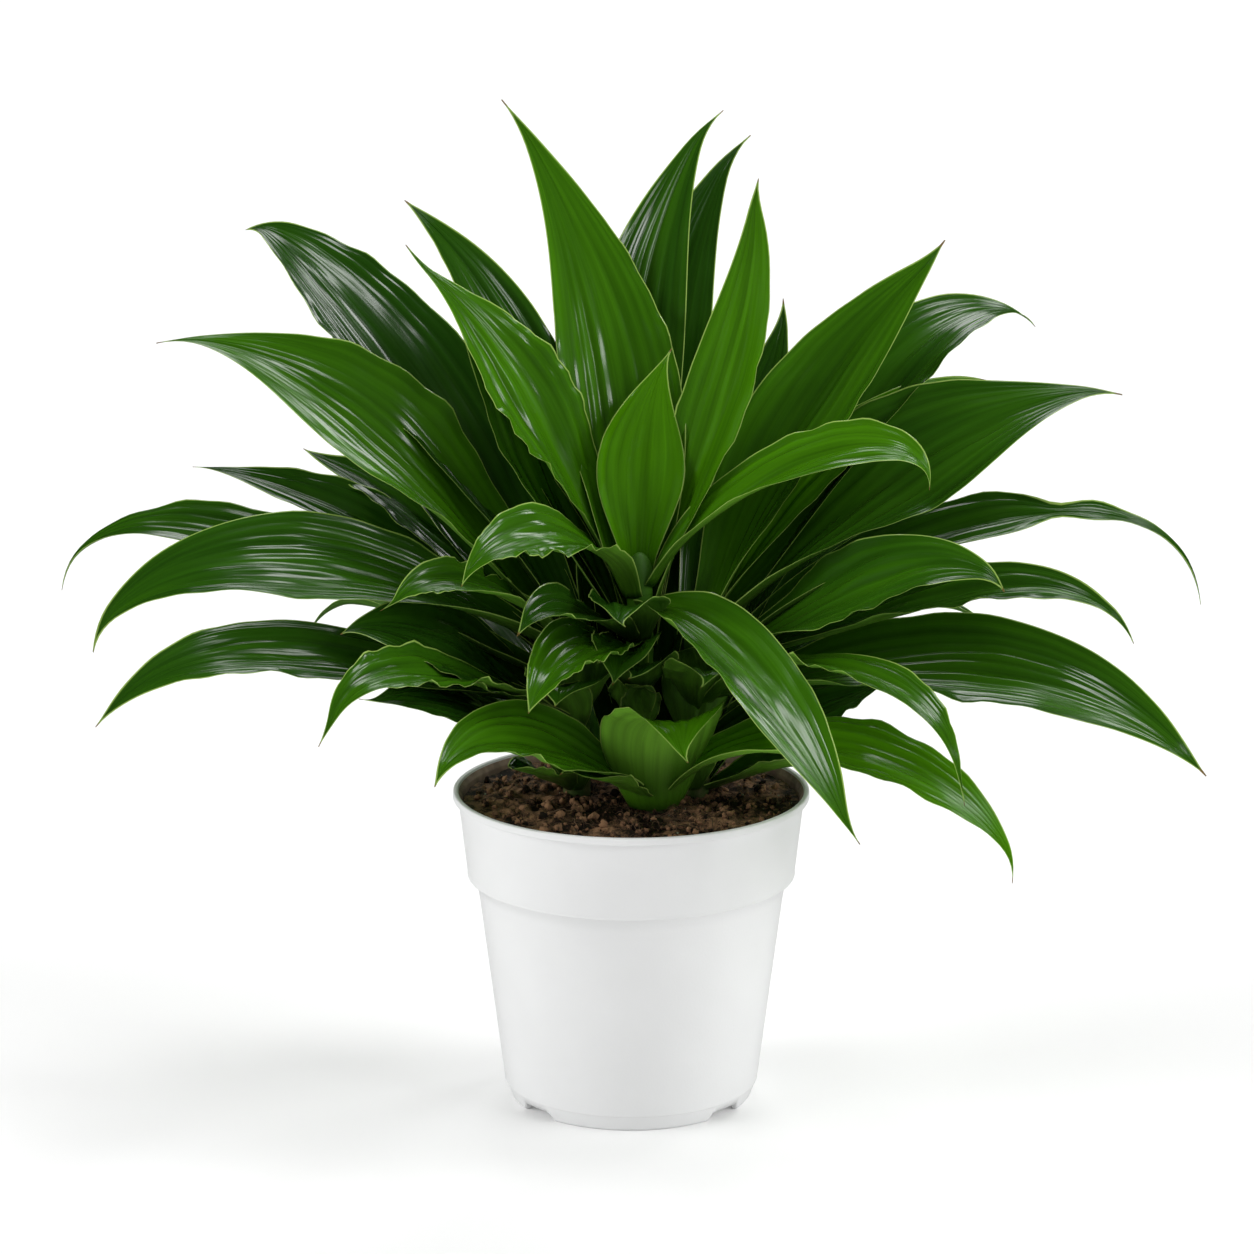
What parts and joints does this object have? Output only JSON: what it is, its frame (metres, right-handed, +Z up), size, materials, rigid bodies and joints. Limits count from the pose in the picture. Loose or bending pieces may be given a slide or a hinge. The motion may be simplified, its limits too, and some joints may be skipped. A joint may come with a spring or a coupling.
{
  "type": "potted dracaena",
  "caption": "Bushy house plant with broad arching strap leaves on short upright stems, growing in soil in a round tapered nursery pot with a wide rim band",
  "frame": {"origin": "centre of the ring that the pot stands on, on the floor", "axes": "+Z up, +X to the right as the picture shows the plant, +Y away from the viewer"},
  "size_m": [0.5485, 0.2788, 0.4673],
  "materials": {
    "pot": "smooth semi-matte white polypropylene",
    "soil": "rough dark peat with fibres",
    "young_leaf": "glossy light green leaf",
    "leaf": "glossy dark green leaf"
  },
  "bodies": {
    "root": {"pot": "pot", "soil": "soil", "shoot_centre": "young_leaf", "shoot_left": "leaf", "shoot_right": "leaf", "shoot_front": "leaf"}
  },
  "joints": []
}
